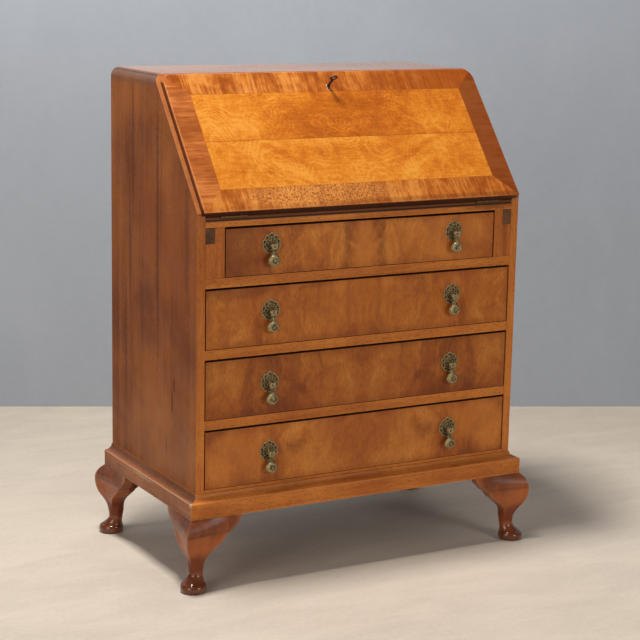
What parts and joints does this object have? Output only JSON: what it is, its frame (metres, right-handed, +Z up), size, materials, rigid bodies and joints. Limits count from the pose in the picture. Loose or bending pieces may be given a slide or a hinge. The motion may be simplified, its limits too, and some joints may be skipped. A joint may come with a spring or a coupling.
{
  "type": "writing bureau",
  "caption": "Slope-front writing bureau on a moulded plinth and short cabriole legs, with a hinged fall, sliding bearers, deep drawers, drop handles, a lock with key, and pigeonholes inside.",
  "frame": {"origin": "centre of the footprint, on the floor", "axes": "+Z up, front towards -Y, width along X"},
  "size_m": [0.829, 0.483, 1.022],
  "materials": {
    "walnut": "waxed satin walnut, orange brown",
    "side_walnut": "duller brown walnut, worn",
    "top_walnut": "pale worn walnut top",
    "figured_walnut": "quartered golden walnut with crossbanding, waxed",
    "drawer_walnut": "mottled walnut veneer, waxed",
    "leg_walnut": "dark red brown, glossy",
    "plain_oak": "plain unfinished oak",
    "end_grain": "dark end grain",
    "aged_brass": "dull olive brass",
    "dark_iron": "dark worn iron"
  },
  "bodies": {
    "case": {"left_side": "side_walnut", "right_side": "side_walnut", "top_board": "top_walnut", "back_panel": "plain_oak", "writing_bed": "walnut", "bottom_board": "walnut", "lower_dustboard": "walnut", "middle_dustboard": "walnut", "upper_dustboard": "walnut", "left_loper_housing": "walnut", "right_loper_housing": "walnut", "plinth": "walnut", "plinth_back_rail": "plain_oak", "front_left_leg": "leg_walnut", "front_right_leg": "leg_walnut", "rear_left_leg": "leg_walnut", "rear_right_leg": "leg_walnut", "pigeonhole_unit": "plain_oak", "left_hinge_case_leaf": "aged_brass", "right_hinge_case_leaf": "aged_brass", "strike_plate": "aged_brass"},
    "fall": {"fall_board": "figured_walnut", "left_hinge_fall_leaf": "aged_brass", "right_hinge_fall_leaf": "aged_brass", "lock_case": "aged_brass", "escutcheon": "aged_brass"},
    "lock_bolt": {"lock_bolt": "dark_iron"},
    "key": {"key": "dark_iron"},
    "left_loper": {"left_loper": "end_grain"},
    "right_loper": {"right_loper": "end_grain"},
    "drawer_1": {"drawer_1_front": "drawer_walnut", "drawer_1_box": "plain_oak", "drawer_1_bottom": "plain_oak", "drawer_1_left_plate": "aged_brass", "drawer_1_right_plate": "aged_brass"},
    "drawer_1_left_drop": {"drawer_1_left_drop": "aged_brass"},
    "drawer_1_right_drop": {"drawer_1_right_drop": "aged_brass"},
    "drawer_2": {"drawer_2_front": "drawer_walnut", "drawer_2_box": "plain_oak", "drawer_2_bottom": "plain_oak", "drawer_2_left_plate": "aged_brass", "drawer_2_right_plate": "aged_brass"},
    "drawer_2_left_drop": {"drawer_2_left_drop": "aged_brass"},
    "drawer_2_right_drop": {"drawer_2_right_drop": "aged_brass"},
    "drawer_3": {"drawer_3_front": "drawer_walnut", "drawer_3_box": "plain_oak", "drawer_3_bottom": "plain_oak", "drawer_3_left_plate": "aged_brass", "drawer_3_right_plate": "aged_brass"},
    "drawer_3_left_drop": {"drawer_3_left_drop": "aged_brass"},
    "drawer_3_right_drop": {"drawer_3_right_drop": "aged_brass"},
    "top_drawer": {"top_drawer_front": "drawer_walnut", "top_drawer_box": "plain_oak", "top_drawer_bottom": "plain_oak", "top_drawer_left_plate": "aged_brass", "top_drawer_right_plate": "aged_brass"},
    "top_drawer_left_drop": {"top_drawer_left_drop": "aged_brass"},
    "top_drawer_right_drop": {"top_drawer_right_drop": "aged_brass"},
    "left_small_drawer": {"left_small_drawer": "plain_oak"},
    "right_small_drawer": {"right_small_drawer": "plain_oak"}
  },
  "joints": [
    {"name": "fall_hinge", "type": "hinge", "parent": "case", "child": "fall", "pos_m": [0, -0.206, 0.757], "axis": [1, 0, 0], "range_deg": [0, 129.35]},
    {"name": "key_turn", "type": "hinge", "parent": "fall", "child": "key", "pos_m": [0, -0.03854, 0.99269], "axis": [0, -0.7732, 0.6342], "range_deg": [0, 98]},
    {"name": "lock_bolt_slide", "type": "slide", "parent": "fall", "child": "lock_bolt", "axis": [0, 0.6342, 0.7732], "range_m": [0, 0.012]},
    {"name": "left_loper_slide", "type": "slide", "parent": "case", "child": "left_loper", "axis": [0, -1, 0], "range_m": [0, 0.24]},
    {"name": "right_loper_slide", "type": "slide", "parent": "case", "child": "right_loper", "axis": [0, -1, 0], "range_m": [0, 0.24]},
    {"name": "drawer_1_slide", "type": "slide", "parent": "case", "child": "drawer_1", "axis": [0, -1, 0], "range_m": [0, 0.3]},
    {"name": "drawer_1_left_drop_swing", "type": "hinge", "parent": "drawer_1", "child": "drawer_1_left_drop", "pos_m": [-0.216, -0.21965, 0.2696], "axis": [-1, 0, 0], "range_deg": [0, 100]},
    {"name": "drawer_1_right_drop_swing", "type": "hinge", "parent": "drawer_1", "child": "drawer_1_right_drop", "pos_m": [0.216, -0.21965, 0.2696], "axis": [-1, 0, 0], "range_deg": [0, 100]},
    {"name": "drawer_2_slide", "type": "slide", "parent": "case", "child": "drawer_2", "axis": [0, -1, 0], "range_m": [0, 0.3]},
    {"name": "drawer_2_left_drop_swing", "type": "hinge", "parent": "drawer_2", "child": "drawer_2_left_drop", "pos_m": [-0.216, -0.21965, 0.4131], "axis": [-1, 0, 0], "range_deg": [0, 100]},
    {"name": "drawer_2_right_drop_swing", "type": "hinge", "parent": "drawer_2", "child": "drawer_2_right_drop", "pos_m": [0.216, -0.21965, 0.4131], "axis": [-1, 0, 0], "range_deg": [0, 100]},
    {"name": "drawer_3_slide", "type": "slide", "parent": "case", "child": "drawer_3", "axis": [0, -1, 0], "range_m": [0, 0.3]},
    {"name": "drawer_3_left_drop_swing", "type": "hinge", "parent": "drawer_3", "child": "drawer_3_left_drop", "pos_m": [-0.216, -0.21965, 0.5616], "axis": [-1, 0, 0], "range_deg": [0, 100]},
    {"name": "drawer_3_right_drop_swing", "type": "hinge", "parent": "drawer_3", "child": "drawer_3_right_drop", "pos_m": [0.216, -0.21965, 0.5616], "axis": [-1, 0, 0], "range_deg": [0, 100]},
    {"name": "top_drawer_slide", "type": "slide", "parent": "case", "child": "top_drawer", "axis": [0, -1, 0], "range_m": [0, 0.26]},
    {"name": "top_drawer_left_drop_swing", "type": "hinge", "parent": "top_drawer", "child": "top_drawer_left_drop", "pos_m": [-0.216, -0.21965, 0.6962], "axis": [-1, 0, 0], "range_deg": [0, 100]},
    {"name": "top_drawer_right_drop_swing", "type": "hinge", "parent": "top_drawer", "child": "top_drawer_right_drop", "pos_m": [0.216, -0.21965, 0.6962], "axis": [-1, 0, 0], "range_deg": [0, 100]},
    {"name": "left_small_drawer_slide", "type": "slide", "parent": "case", "child": "left_small_drawer", "axis": [0, -1, 0], "range_m": [0, 0.12]},
    {"name": "right_small_drawer_slide", "type": "slide", "parent": "case", "child": "right_small_drawer", "axis": [0, -1, 0], "range_m": [0, 0.12]}
  ],
  "couplings": [
    {"joint": "key_turn", "follows": "lock_bolt_slide", "rad_per_m": 130.89}
  ]
}
